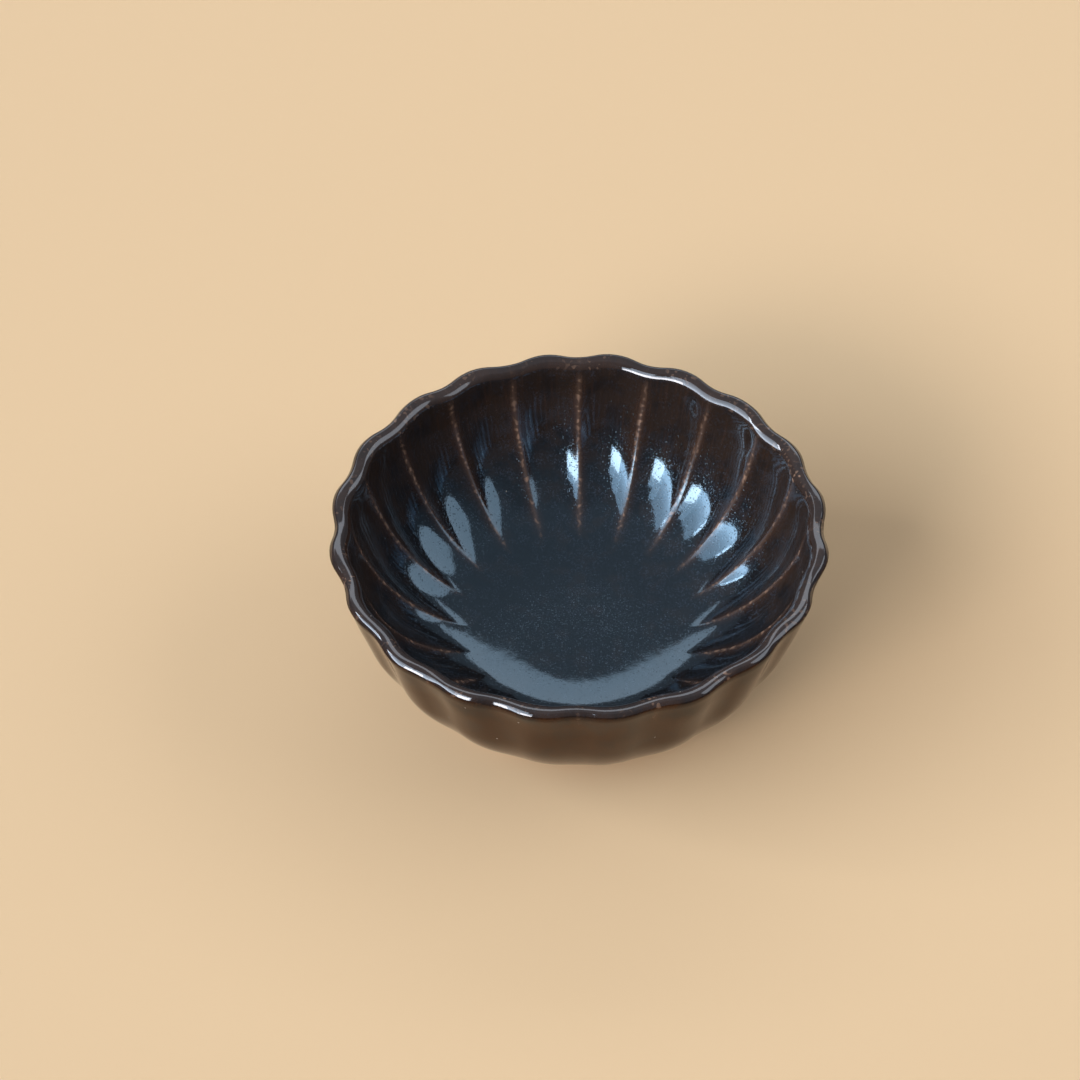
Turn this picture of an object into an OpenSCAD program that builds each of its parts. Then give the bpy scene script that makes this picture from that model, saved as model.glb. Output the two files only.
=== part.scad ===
// Small petal-shaped sauce dish: a pressed stoneware bowl on a luted foot ring, under dark glaze.
// The origin is on the table under the middle of the foot, +Z points up, and all lengths are in millimetres.
// A petal ridge lies on +X, and the petals repeat evenly around +Z.

/* [Dish] */
// Diameter over the petals at the rim, glaze included
rim_d = 90; // [84:0.5:104]
// Height from the table to the top of the lip, glaze included
dish_h = 35; // [32:0.5:42]
// Lean of the upper wall from upright, in degrees
wall_lean = 17.3; // [10:0.1:20]

/* [Petals] */
// Number of petals around the dish
petals = 20; // [12:1:24]
// Depth of each flute inside the rim, from its bottom to the ridges beside it
flute_depth = 1.6; // [0.8:0.1:2.2]
// Depth of the notches between the petals outside the rim
notch_depth = 1.15; // [0.4:0.05:1.6]
// Radius at which the ridges fade into the floor
ridge_fade_r = 20; // [16:0.5:24]
// Radius at which the notches fade into the belly
notch_fade_r = 27; // [24:0.5:32]

/* [Clay] */
// Clay wall, square to its face in the middle of a petal
wall_t = 1.7; // [1.4:0.1:3]
// Clay floor, from the underside to the top
floor_t = 2.6; // [2:0.1:4]
// Rise of the rounded lip above the upper wall
lip_rise = 1.2; // [0.8:0.1:2]
// Radius of the curve from the floor to the wall, inside
inner_curve_r = 26.5; // [22:0.5:30]
// Radius of the belly's curve, from the underside to the wall, outside
belly_r = 28; // [25:0.5:31]

/* [Foot] */
// Outside diameter of the foot ring
foot_d = 44; // [38:0.5:47]
// Width of the foot ring
foot_w = 3.6; // [2.6:0.1:5]
// Height of the foot ring
foot_h = 3.2; // [2:0.1:4.5]
// Bevel along both edges of the face that the dish stands on
foot_bevel = 0.6; // [0.2:0.1:1]
// Flat underside left bare around the foot ring
foot_ledge = 3.9; // [1:0.1:5]

/* [Glaze] */
// Glaze in the flutes and on the floor
glaze_t = 0.5; // [0.3:0.05:0.8]
// Glaze on the ridges, where it runs thin
ridge_glaze_t = 0.25; // [0.15:0.05:0.3]
// Glaze outside, over the lip and inside the foot
outer_glaze_t = 0.4; // [0.2:0.05:0.6]
// Bare band between the underside and the lower edge of the outer glaze
bare_band = 1.4; // [0.6:0.1:3]
// Size of the fillet of glaze pooled against the inside of the foot ring
pool = 0.8; // [0.4:0.1:1.2]

/* [Hidden] */

clay_colour = [0.46, 0.36, 0.28];
inner_colour = [0.09, 0.07, 0.07];
outer_colour = [0.14, 0.09, 0.06];
well_colour = [0.11, 0.08, 0.07];

// Facets across one petal, and steps along the curves
petal_facets = 6;
around = petals * petal_facets;
inner_steps = 8;
belly_steps = 6;
lip_steps = 4;
foot_fn = 96;

// Heights
underside_z = foot_h;
clay_floor_z = underside_z + floor_t;
wall_top_z = dish_h - lip_rise;

// Radii in the middle of a petal, where the wall meets the lip
outer_glaze_r = rim_d / 2;
outer_clay_r = outer_glaze_r - outer_glaze_t / cos(wall_lean);
inner_clay_r = outer_clay_r - wall_t / cos(wall_lean);
inner_glaze_r = inner_clay_r - glaze_t / cos(wall_lean);
ridge_r = inner_glaze_r - flute_depth;
clay_flute_depth = inner_clay_r - ridge_r - ridge_glaze_t;

foot_r = foot_d / 2;
well_r = foot_r - foot_w;
underside_r = foot_r + foot_ledge;

// The belly's curve touches the straight wall and ends at the edge of the underside. Its centre lies on a line
// along the wall, one belly radius inside it, and slide is how far down that line from the lip.
wall_down = [-sin(wall_lean), -cos(wall_lean)];
wall_out = [cos(wall_lean), -sin(wall_lean)];
line_start = [outer_clay_r, wall_top_z] - belly_r * wall_out;
to_line = line_start - [underside_r, underside_z];
along = to_line * wall_down;
slide = -along - sqrt(along * along - to_line * to_line + belly_r * belly_r);
belly_centre = line_start + slide * wall_down;

// A station is one ring of a skin: [radius in the middle of a petal, height, depth at the petal's edges].

// Depth of the petals at radius r: nothing up to fade_r, full at top_r
function petal_depth(r, depth, fade_r, top_r) =
    r <= fade_r ? 0 : depth * sin(90 * min(1, (r - fade_r) / (top_r - fade_r)));

// Stations of an inside skin that lies coat over the clay, from the edge of the floor up to the lip
function inside_skin(coat, depth) =
    let (
        top_r = inner_clay_r - coat / cos(wall_lean),
        floor_z = clay_floor_z + coat,
        curve_r = inner_curve_r - coat,
        curve_end_z = floor_z + curve_r * (1 - sin(wall_lean)),
        curve_end_r = top_r - (wall_top_z - curve_end_z) * tan(wall_lean),
        flat_r = curve_end_r - curve_r * cos(wall_lean)
    )
    [
        for (i = [0 : inner_steps])
            let (
                a = (90 - wall_lean) * i / inner_steps,
                r = flat_r + curve_r * sin(a)
            )
            [r, floor_z + curve_r * (1 - cos(a)), petal_depth(r, depth, ridge_fade_r, top_r)],
        [top_r, wall_top_z, depth]
    ];

// Stations of an outside skin that lies coat over the clay, from the height low_z up to the lip
function outside_skin(coat, low_z) =
    let (
        curve_r = belly_r + coat,
        top_r = outer_clay_r + coat / cos(wall_lean),
        low_a = acos((belly_centre[1] - low_z) / curve_r)
    )
    [
        for (i = [0 : belly_steps])
            let (
                a = low_a + (90 - wall_lean - low_a) * i / belly_steps,
                r = belly_centre[0] + curve_r * sin(a)
            )
            [r, belly_centre[1] - curve_r * cos(a), petal_depth(r, notch_depth, notch_fade_r, top_r)],
        [top_r, wall_top_z, notch_depth]
    ];

// Stations over the lip, between the top of an outside skin and the top of an inside skin
function lip_skin(outer_r, outer_depth, inner_r, inner_depth, rise) =
    [
        for (i = [1 : lip_steps - 1])
            let (
                a = 180 * i / lip_steps,
                share = (1 - cos(a)) / 2
            )
            [
                outer_r + (inner_r - outer_r) * share,
                wall_top_z + rise * sin(a),
                outer_depth + (inner_depth - outer_depth) * share
            ]
    ];

// How far point i of a ring is from the middle of its petal: 0 in the middle, 1 on the ridge
function petal_share(i) = pow(2 * (i % petal_facets) / petal_facets - 1, 2);

// Points of one ring, in order around +Z
function ring(station) =
    [
        for (i = [0 : around - 1])
            let (
                a = 360 * i / around,
                r = station[0] - station[2] * petal_share(i)
            )
            [r * cos(a), r * sin(a), station[1]]
    ];

// Points of a whole skin, ring after ring
function skin_points(skin) = [for (station = skin) each ring(station)];

// The two triangles of one cell, with its diagonal mirrored in the middle of the petal
function cell(a, b, c, d, i) =
    i % petal_facets < petal_facets / 2 ? [[a, d, c], [a, c, b]] : [[a, d, b], [d, c, b]];

// Triangles between the ring that starts at low and the ring that starts at high, facing away from the axis
function band(low, high) =
    [
        for (i = [0 : around - 1])
            let (j = (i + 1) % around)
            each cell(low + i, low + j, high + j, high + i, i)
    ];

// Triangles of a skin whose points start at first
function skin_faces(skin, first) =
    [for (k = [0 : len(skin) - 2]) each band(first + k * around, first + (k + 1) * around)];

// Triangles from a middle point to a ring, facing down
function fan(middle, first) = [for (i = [0 : around - 1]) [middle, first + i, first + (i + 1) % around]];

// The same triangles, facing the other way
function turned(faces) = [for (f = faces) [f[2], f[1], f[0]]];

// A bowl between an outside skin and an inside skin, both closed by a flat floor in the middle
module bowl_shell(outside, inside) {
    inside_first = len(outside) * around;
    low_middle = inside_first + len(inside) * around;
    high_middle = low_middle + 1;
    outside_top = (len(outside) - 1) * around;
    inside_top = inside_first + (len(inside) - 1) * around;
    polyhedron(
        points = concat(
            skin_points(outside),
            skin_points(inside),
            [[0, 0, outside[0][1]], [0, 0, inside[0][1]]]
        ),
        faces = concat(
            skin_faces(outside, 0),
            turned(skin_faces(inside, inside_first)),
            fan(low_middle, 0),
            turned(fan(high_middle, inside_first)),
            band(outside_top, inside_top)
        )
    );
}

// A coat between an outside skin and an inside skin that is open in the middle
module coat_shell(outside, inside) {
    inside_first = len(outside) * around;
    outside_top = (len(outside) - 1) * around;
    inside_top = inside_first + (len(inside) - 1) * around;
    polyhedron(
        points = concat(skin_points(outside), skin_points(inside)),
        faces = concat(
            skin_faces(outside, 0),
            turned(skin_faces(inside, inside_first)),
            turned(band(0, inside_first)),
            band(outside_top, inside_top)
        )
    );
}

// Skins that the clay and the glaze share
clay_inside = inside_skin(0, clay_flute_depth);
glaze_inside = inside_skin(glaze_t, flute_depth);
clay_lip = lip_skin(outer_clay_r, notch_depth, inner_clay_r, clay_flute_depth, lip_rise - outer_glaze_t);
glaze_lip = lip_skin(outer_glaze_r, notch_depth, inner_glaze_r, flute_depth, lip_rise);
glaze_low_z = underside_z + bare_band;

// The glazed belly, and the clay under it
clay_belly = outside_skin(0, glaze_low_z);
glaze_belly = outside_skin(outer_glaze_t, glaze_low_z);
// The bare edge of the underside, below the glaze
underside_edge = outside_skin(0, underside_z)[0];

// The stoneware bowl, with its floor, petalled wall and rounded lip
module bowl_body() {
    color(clay_colour) bowl_shell(concat([underside_edge], clay_belly, clay_lip), clay_inside);
}

// The ring of clay luted under the floor
module foot_ring() {
    color(clay_colour)
        rotate_extrude($fn = foot_fn)
            polygon([
                [well_r, foot_h],
                [well_r, foot_bevel],
                [well_r + foot_bevel, 0],
                [foot_r - foot_bevel, 0],
                [foot_r, foot_bevel],
                [foot_r, foot_h]
            ]);
}

// The coat of glaze inside the bowl, up to the lip
module inner_glaze() {
    color(inner_colour) bowl_shell(clay_inside, glaze_inside);
}

// The coat of glaze outside, from the bare band over the lip to the inner coat
module outer_glaze() {
    inner_edge = glaze_inside[len(glaze_inside) - 1];
    clay_edge = clay_inside[len(clay_inside) - 1];
    color(outer_colour)
        coat_shell(
            concat(glaze_belly, glaze_lip, [inner_edge]),
            concat(clay_belly, clay_lip, [clay_edge])
        );
}

// The coat of glaze under the floor, inside the foot ring
module foot_well_glaze() {
    color(well_colour)
        rotate_extrude($fn = foot_fn)
            polygon([
                [0, foot_h],
                [well_r, foot_h],
                [well_r, foot_h - outer_glaze_t - pool],
                [well_r - pool, foot_h - outer_glaze_t],
                [0, foot_h - outer_glaze_t]
            ]);
}

bowl_body();
foot_ring();
inner_glaze();
outer_glaze();
foot_well_glaze();
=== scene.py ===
"""Looks of a small petal-shaped sauce dish in dark iron glaze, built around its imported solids.

Lengths are in millimetres and become metres through MM. The frame is that of the solids: the origin is on
the table under the middle of the foot, +Z points up, and a ridge between two petals lies on +X.
"""

import logging
import math
from collections.abc import Callable, Sequence
from dataclasses import dataclass, replace
from enum import Enum, IntEnum

import bpy
import numpy as np
from mathutils import Matrix, Vector


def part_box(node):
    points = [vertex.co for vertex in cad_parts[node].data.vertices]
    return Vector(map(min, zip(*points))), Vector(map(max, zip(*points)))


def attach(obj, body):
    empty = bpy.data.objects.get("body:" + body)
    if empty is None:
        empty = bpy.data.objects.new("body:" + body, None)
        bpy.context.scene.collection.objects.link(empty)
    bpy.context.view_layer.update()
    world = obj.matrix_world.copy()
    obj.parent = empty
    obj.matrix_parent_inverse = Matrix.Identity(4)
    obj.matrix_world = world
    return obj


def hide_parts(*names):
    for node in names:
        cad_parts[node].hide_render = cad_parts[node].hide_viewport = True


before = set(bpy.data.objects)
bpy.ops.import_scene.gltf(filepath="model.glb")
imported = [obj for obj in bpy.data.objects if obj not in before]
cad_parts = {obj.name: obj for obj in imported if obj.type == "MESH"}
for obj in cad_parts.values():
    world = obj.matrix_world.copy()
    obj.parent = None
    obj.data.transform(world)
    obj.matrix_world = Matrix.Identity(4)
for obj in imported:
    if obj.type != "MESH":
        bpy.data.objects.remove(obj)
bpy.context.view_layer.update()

LOG = logging.getLogger("sauce_dish")
MM = 0.001
BODY = "root"
TINY = 1e-6

Socket = bpy.types.NodeSocket
Colour = tuple[float, float, float]


class Node(Enum):
    """The solids that the pieces here stand for."""

    BOWL = "bowl_body"
    FOOT = "foot_ring"
    INNER = "inner_glaze"
    OUTER = "outer_glaze"
    WELL = "foot_well_glaze"


class Slot(Enum):
    """The record's material slots."""

    STONEWARE = "stoneware"
    INNER = "inner_glaze"
    OUTER = "outer_glaze"


class Trait(Enum):
    """Values that a glazed mesh carries at each point for its finish."""

    THIN = "thin_glaze"
    SPECK = "rust_specks"
    HALO = "ridge_halo"
    WARM = "warm_glaze"


class Part(Enum):
    """Parts of a mesh that edit mode selects."""

    POINT = "VERT"
    EDGE = "EDGE"
    FACE = "FACE"


class Coat(IntEnum):
    """The finishes of the outer coat, in the order of its materials."""

    INSIDE = 0
    OUTSIDE = 1
    LIP = 2


def seen(red: int, green: int, blue: int) -> Colour:
    """Turns a colour as a screen shows it, 0 to 255, into the linear values that a shader takes."""
    shares = (value / 255 for value in (red, green, blue))
    return tuple(s / 12.92 if s <= 0.04045 else ((s + 0.055) / 1.055) ** 2.4 for s in shares)


class Bench:
    """The modelling bench: short calls to the operators that every piece uses."""

    @staticmethod
    def clear() -> None:
        """Deselects everything, the solids included."""
        bpy.ops.object.select_all(action="DESELECT")

    @staticmethod
    def only(piece: bpy.types.Object) -> None:
        """Selects one piece and makes it active.

        Args:
            piece: The piece.
        """
        Bench.clear()
        piece.select_set(True)
        bpy.context.view_layer.objects.active = piece

    @staticmethod
    def take(name: str) -> bpy.types.Object:
        """Names the primitive that was just added and its mesh.

        Args:
            name: The piece's name.

        Returns:
            The object.
        """
        piece = bpy.context.object
        piece.name = name
        piece.data.name = name
        return piece

    @staticmethod
    def edit(part: Part = Part.POINT) -> None:
        """Opens the active piece in edit mode with everything selected.

        Args:
            part: What is selected there.
        """
        bpy.ops.object.mode_set(mode="EDIT")
        bpy.ops.mesh.select_mode(type=part.value)
        bpy.ops.mesh.select_all(action="SELECT")

    @staticmethod
    def close() -> None:
        """Goes back to object mode."""
        bpy.ops.object.mode_set(mode="OBJECT")

    @staticmethod
    def pick(piece: bpy.types.Object, part: Part, test: Callable[[object], bool]) -> None:
        """Selects the faces or edges that pass a test, and nothing else.

        Args:
            piece: The piece, open in edit mode.
            part: Faces or edges.
            test: Takes one face or edge of the mesh.
        """
        bpy.ops.mesh.select_all(action="DESELECT")
        Bench.close()
        for item in piece.data.polygons if part is Part.FACE else piece.data.edges:
            item.select = test(item)
        bpy.ops.object.mode_set(mode="EDIT")
        bpy.ops.mesh.select_mode(type=part.value)

    @staticmethod
    def tidy(gap: float = 0.0002) -> None:
        """Merges points that coincide and turns all faces outwards, in edit mode.

        Args:
            gap: Distance below which points merge.
        """
        bpy.ops.mesh.select_all(action="SELECT")
        bpy.ops.mesh.remove_doubles(threshold=gap * MM)
        bpy.ops.mesh.normals_make_consistent(inside=False)

    @staticmethod
    def smooth(piece: bpy.types.Object, angle: float = 60) -> None:
        """Shades a piece smooth, apart from edges sharper than an angle in degrees."""
        Bench.only(piece)
        bpy.ops.object.shade_smooth_by_angle(angle=math.radians(angle))


@dataclass(frozen=True)
class Station:
    """One ring of a petalled skin.

    Attributes:
        radius: Radius in the middle of a petal.
        height: Height above the table.
        depth: How far the ring is drawn in at the petals' edges.
        round_off: Share of the half petal over which the crease at its edge is rounded.
        ridge: How strongly the glaze runs thin on the petal's edge here, 0 to 1.
        speck: How readily rust specks break through here, 0 to 1.
        warm: How brown the glaze is here, 0 blue-black to 1 brown.
        finish: Which of the piece's finishes starts here.
    """

    radius: float
    height: float
    depth: float
    round_off: float = 0.08
    ridge: float = 0.0
    speck: float = 0.0
    warm: float = 0.0
    finish: int = 0


def ease(value: float, low: float, high: float) -> float:
    """Rises smoothly from 0 at low to 1 at high."""
    share = min(1.0, max(0.0, (value - low) / (high - low)))
    return share * share * (3 - 2 * share)


@dataclass(frozen=True)
class Mould:
    """The petalled form that the clay and the glaze share, in millimetres and degrees.

    The first sizes are read from the solids. The next ones, down to outer_glaze_t, repeat their design,
    and the others shape what is finer than the solids. A pair of heights or radii is where something
    starts and where it is full.
    """

    rim_r: float
    dish_h: float
    wall_top: float
    floor_z: float
    underside: float
    foot_r: float
    well_r: float
    glaze_low: float
    petals: int = 20
    wall_lean: float = 17.3
    flute_depth: float = 1.6
    notch_depth: float = 1.15
    ridge_fade_r: float = 20.0
    notch_fade_r: float = 27.0
    wall_t: float = 1.7
    inner_curve_r: float = 26.5
    belly_r: float = 28.0
    foot_ledge: float = 3.9
    glaze_t: float = 0.5
    ridge_glaze_t: float = 0.25
    outer_glaze_t: float = 0.4
    floor_ease: float = 12.0
    lip_calm: float = 0.5
    calm_from: float = 0.82
    notch_calm: float = 0.13
    notch_dip: float = 0.28
    dip_from: float = 0.75
    lip_swell: float = 0.5
    swell_reach: float = 6.0
    notch_power: float = 3.0
    ridge_round: float = 0.08
    lip_round: float = 0.45
    round_from: float = 0.6
    lip_drop: float = -0.2
    lip_turns: tuple[tuple[float, float], ...] = (
        (0.0, 107.0),
        (0.05, 56.0),
        (0.25, 42.0),
        (0.35, 0.0),
        (0.62, -22.0),
        (0.69, -38.0),
        (0.94, -56.0),
        (1.0, -73.0),
    )
    lip_points: int = 401
    outer_turn: int = 1
    inner_turn: int = 6
    seam_drop: float = 1.6
    seam_rings: int = 5
    belly_lead: float = 0.35
    section_step: float = 0.02
    section_reach: float = 1.6
    section_tries: int = 3
    ridge_line_r: tuple[float, float] = (21.5, 28.0)
    ridge_loss: float = 0.38
    ridge_loss_z: float = 28.0
    brown_z: tuple[float, float] = (12.0, 27.0)
    lip_ridge: float = 0.12
    seam_ridge: float = 0.5
    lip_speck: float = 0.7
    lip_brown: float = 0.3
    rim_ridge: float = 0.2
    rim_ridge_z: tuple[float, float] = (28.0, 33.0)
    rim_dark: float = 0.6
    rim_dark_z: tuple[float, float] = (26.0, 33.0)

    @classmethod
    def from_frame(cls) -> "Mould":
        """Reads the dish's main sizes from its solids.

        Returns:
            The mould.
        """
        inner_low, inner_high = (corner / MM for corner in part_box(Node.INNER.value))
        outer_low, outer_high = (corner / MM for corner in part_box(Node.OUTER.value))
        foot_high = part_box(Node.FOOT.value)[1] / MM
        well_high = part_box(Node.WELL.value)[1] / MM
        rim = max(point.co.xy.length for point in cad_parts[Node.OUTER.value].data.vertices) / MM
        return cls(
            rim_r=rim,
            dish_h=outer_high.z,
            wall_top=inner_high.z,
            floor_z=inner_low.z,
            underside=foot_high.z,
            foot_r=foot_high.x,
            well_r=well_high.x,
            glaze_low=outer_low.z,
        )

    @property
    def lean(self) -> float:
        """Lean of the wall from upright, in radians."""
        return math.radians(self.wall_lean)

    @property
    def outer_clay_r(self) -> float:
        """Radius of the clay outside, where the wall meets the lip."""
        return self.rim_r - self.outer_glaze_t / math.cos(self.lean)

    @property
    def inner_clay_r(self) -> float:
        """Radius of the clay inside, where the wall meets the lip."""
        return self.outer_clay_r - self.wall_t / math.cos(self.lean)

    @property
    def inner_glaze_r(self) -> float:
        """Radius of the glaze inside, where the wall meets the lip."""
        return self.inner_clay_r - self.glaze_t / math.cos(self.lean)

    @property
    def clay_flute_depth(self) -> float:
        """Depth of the flutes in the clay, which the glaze evens out a little."""
        return self.flute_depth + self.glaze_t / math.cos(self.lean) - self.ridge_glaze_t

    @property
    def belly_centre(self) -> tuple[float, float]:
        """Centre of the belly's curve, which touches the wall and meets the edge of the underside.

        Returns:
            Its radius and height.
        """
        down = np.array([-math.sin(self.lean), -math.cos(self.lean)])
        out = np.array([math.cos(self.lean), -math.sin(self.lean)])
        start = np.array([self.outer_clay_r, self.wall_top]) - self.belly_r * out
        reach = start - np.array([self.foot_r + self.foot_ledge, self.underside])
        along = float(reach @ down)
        slide = -along - math.sqrt(along * along - float(reach @ reach) + self.belly_r**2)
        radius, height = start + slide * down
        return float(radius), float(height)

    @staticmethod
    def fade(radius: float, depth: float, fade_r: float, top_r: float) -> float:
        """Depth of the petals at a radius.

        Args:
            radius: The radius.
            depth: Full depth.
            fade_r: Radius up to which there are no petals.
            top_r: Radius at which they are full.

        Returns:
            The depth.
        """
        if radius <= fade_r:
            return 0.0
        return depth * math.sin(math.pi / 2 * min(1.0, (radius - fade_r) / (top_r - fade_r)))

    def flute(self, radius: float, depth: float, top_r: float) -> float:
        """Depth of the flutes at a radius: they start on the floor's edge and calm down towards the lip."""
        calm = self.lip_calm * ease(radius, self.calm_from * top_r, top_r)
        return self.fade(radius, depth, self.ridge_fade_r, top_r) * (1 - calm)

    @property
    def lip_notch(self) -> float:
        """Depth of the notches outside the lip, calmed a little."""
        return self.notch_depth * (1 - self.notch_calm)

    def dip(self, height: float) -> float:
        """How far a petal's edge dips at a height: nothing on the wall, most at the lip."""
        return self.notch_dip * ease(height, self.dip_from * self.wall_top, self.wall_top)

    def ridge_softness(self, height: float) -> float:
        """Share of the half petal over which a ridge is rounded: crisp low down, soft at the lip."""
        share = ease(height, self.round_from * self.wall_top, self.wall_top)
        return self.ridge_round + (self.lip_round - self.ridge_round) * share

    def swell(self, height: float) -> float:
        """How far the glaze thickens inwards at a height, towards the lip."""
        start = self.wall_top - self.swell_reach
        return self.lip_swell * ease(height, start, self.wall_top - self.lip_drop)

    def inside_profile(self, coat: float, blend: float) -> np.ndarray:
        """Section of an inside skin, from the middle of the floor to the straight wall.

        The floor turns into the wall along an arc whose curvature eases in and out.

        Args:
            coat: Thickness of glaze over the clay.
            blend: Length over which the curvature eases in and out, 0 for a plain arc.

        Returns:
            Points as radius and height, close together.
        """
        top_r = self.inner_clay_r - coat / math.cos(self.lean)
        floor_z = self.floor_z + coat
        curve_r = self.inner_curve_r - coat
        turn = math.pi / 2 - self.lean
        end_z = floor_z + curve_r * (1 - math.sin(self.lean))
        flat_r = top_r - (self.wall_top - end_z) * math.tan(self.lean) - curve_r * math.cos(self.lean)
        step = self.section_step
        along = np.arange(0, self.section_reach * self.rim_r, step)
        half = max(blend / 2, TINY)

        def ramp(distance: np.ndarray) -> np.ndarray:
            """Rises with a distance past zero, eased over the blend."""
            eased = (distance + half) ** 2 / (4 * half)
            return np.where(distance < -half, 0, np.where(distance > half, distance, eased))

        for _ in range(self.section_tries):
            angle = (ramp(along - flat_r) - ramp(along - flat_r - curve_r * turn)) / curve_r
            radius = np.concatenate([[0], np.cumsum(np.cos(angle[:-1])) * step])
            height = floor_z + np.concatenate([[0], np.cumsum(np.sin(angle[:-1])) * step])
            flat_r += top_r - (self.wall_top - height[-1]) * math.tan(self.lean) - radius[-1]
        return np.stack([radius, height], -1)

    def inside(self, coat: float, depth: float, blend: float, step: float) -> list[Station]:
        """Rings of an inside skin, from the middle of the floor up to the seam below the lip.

        Args:
            coat: Thickness of glaze over the clay.
            depth: Depth of the flutes at the lip, before they calm down there.
            blend: Length over which the floor eases into the wall.
            step: Distance between rings along the section.

        Returns:
            The rings in order.
        """
        top_r = self.inner_clay_r - coat / math.cos(self.lean)
        profile = self.inside_profile(coat, blend)
        seam_z = self.wall_top - self.seam_drop
        last = int(np.searchsorted(profile[:, 1], seam_z))
        picks = np.linspace(0, last, round(last * self.section_step / step) + 1).astype(int)
        section = [tuple(profile[i]) for i in picks[:-1]]
        section.append((top_r - self.seam_drop * math.tan(self.lean), seam_z))
        rings = []
        for r, z in section:
            lost = self.ridge_loss * ease(z, self.ridge_loss_z, seam_z)
            ridge = ease(r, *self.ridge_line_r) * (1 - lost)
            warm = ease(z, *self.brown_z)
            rings.append(self.wall_ring(r, z, depth, top_r, coat > 0, ridge=ridge, warm=warm))
        return rings

    def wall_ring(
        self, radius: float, height: float, depth: float, top_r: float, glazed: bool, **marks: float
    ) -> Station:
        """Makes one ring of an inside skin.

        Args:
            radius: Radius before the glaze swells.
            height: Height above the table.
            depth: Depth of the flutes at the lip, before they calm down there.
            top_r: Radius where the wall meets the lip.
            glazed: Whether the skin is glaze, which swells towards the lip.
            marks: What the ring carries for its finish.

        Returns:
            The ring.
        """
        swell = self.swell(height) if glazed else 0
        flute = self.flute(radius, depth, top_r)
        return Station(radius - swell, height, flute, round_off=self.ridge_softness(height), **marks)

    def lip_section(self) -> np.ndarray:
        """Section of the lip, drawn by its turns: how its skin leans from level at shares of its length.

        Returns:
            Points from outside to inside, as shares of its width and of its rise.
        """
        shares, leans = zip(*self.lip_turns)
        tilt = np.radians(np.interp(np.linspace(0, 1, self.lip_points), shares, leans))
        across = np.cumsum(np.cos(tilt))
        up = np.cumsum(np.sin(tilt))
        widths = (across - across[0]) / (across[-1] - across[0])
        rises = (up - up[0]) / (up.max() - up[0])
        return np.stack([widths, rises], -1)

    def lip_finish(self, share: float) -> Coat:
        """Which finish the outer coat has on the lip.

        Args:
            share: Share of the lip's length, from outside to inside.

        Returns:
            The finish.
        """
        if share < self.lip_turns[self.outer_turn][0]:
            return Coat.OUTSIDE
        return Coat.LIP if share < self.lip_turns[self.inner_turn][0] else Coat.INSIDE

    def lip(
        self, coat: float, rise: float, inner_r: float, inner_depth: float, rings: int
    ) -> list[Station]:
        """Rings over the lip, from the top of the outside to the seam inside.

        Args:
            coat: Thickness of glaze over the clay outside.
            rise: Rise of the lip over the wall.
            inner_r: Radius inside, where the wall meets the lip.
            inner_depth: Depth of the flutes inside the lip.
            rings: Rings over the rounding.

        Returns:
            The rings in order.
        """
        section = self.lip_section()
        start_z = self.wall_top - self.lip_drop
        end_z = start_z + (rise + self.lip_drop) * section[-1, 1]
        outer_r = self.outer_clay_r + coat / math.cos(self.lean) - self.lip_drop * math.tan(self.lean)
        crest_r = inner_r - (self.wall_top - end_z) * math.tan(self.lean)
        if coat:
            crest_r -= self.swell(end_z)
        made = []
        for i in range(1, rings + 1):
            share, height = section[round(i / rings * (len(section) - 1))]
            made.append(
                Station(
                    outer_r + (crest_r - outer_r) * share,
                    start_z + (rise + self.lip_drop) * height,
                    self.lip_notch + (inner_depth * (1 - self.lip_calm) - self.lip_notch) * share,
                    round_off=self.lip_round,
                    ridge=self.lip_ridge,
                    speck=self.lip_speck,
                    warm=self.lip_brown + (1 - self.lip_brown) * share,
                    finish=self.lip_finish(i / rings),
                )
            )
        for i in range(1, self.seam_rings + 1):
            height = end_z + (self.wall_top - self.seam_drop - end_z) * i / self.seam_rings
            radius = inner_r - (self.wall_top - height) * math.tan(self.lean)
            ridge = self.lip_ridge + self.seam_ridge * i / self.seam_rings
            ring = self.wall_ring(radius, height, inner_depth, inner_r, coat > 0, ridge=ridge, warm=1.0)
            made.append(ring)
        return made

    def outside(
        self, coat_at: Callable[[float], float], low_z: float, belly_rings: int, wall_rings: int
    ) -> list[Station]:
        """Rings of an outside skin, from a height on the belly up to the lip.

        Args:
            coat_at: Thickness of glaze over the clay, at a distance up the belly from its lower edge.
            low_z: Height of the lower edge on the clay.
            belly_rings: Rings on the belly's curve.
            wall_rings: Rings on the straight wall.

        Returns:
            The rings in order.
        """
        centre_r, centre_z = self.belly_centre
        low = math.acos((centre_z - low_z) / self.belly_r)
        high = math.pi / 2 - self.lean
        full = coat_at(math.inf)
        top_r = self.outer_clay_r + full / math.cos(self.lean)
        lip_z = self.wall_top - self.lip_drop
        lip_r = top_r - self.lip_drop * math.tan(self.lean)
        profile = []
        for i in range(belly_rings + 1):
            share = i / belly_rings
            turn = low + (high - low) * (self.belly_lead * share + (1 - self.belly_lead) * share**2)
            reach = self.belly_r + coat_at(self.belly_r * (turn - low))
            profile.append((centre_r + reach * math.sin(turn), centre_z - reach * math.cos(turn)))
        end_r, end_z = profile[-1]
        for i in range(1, wall_rings + 1):
            share = i / wall_rings
            profile.append((end_r + (lip_r - end_r) * share, end_z + (lip_z - end_z) * share))
        return [
            Station(
                r,
                z,
                self.lip_notch * self.fade(r, 1, self.notch_fade_r, top_r) ** self.notch_power,
                round_off=self.lip_round,
                ridge=self.rim_ridge * ease(z, *self.rim_ridge_z),
                warm=1.0 - self.rim_dark * ease(z, *self.rim_dark_z),
                finish=Coat.OUTSIDE,
            )
            for r, z in profile
        ]


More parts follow.
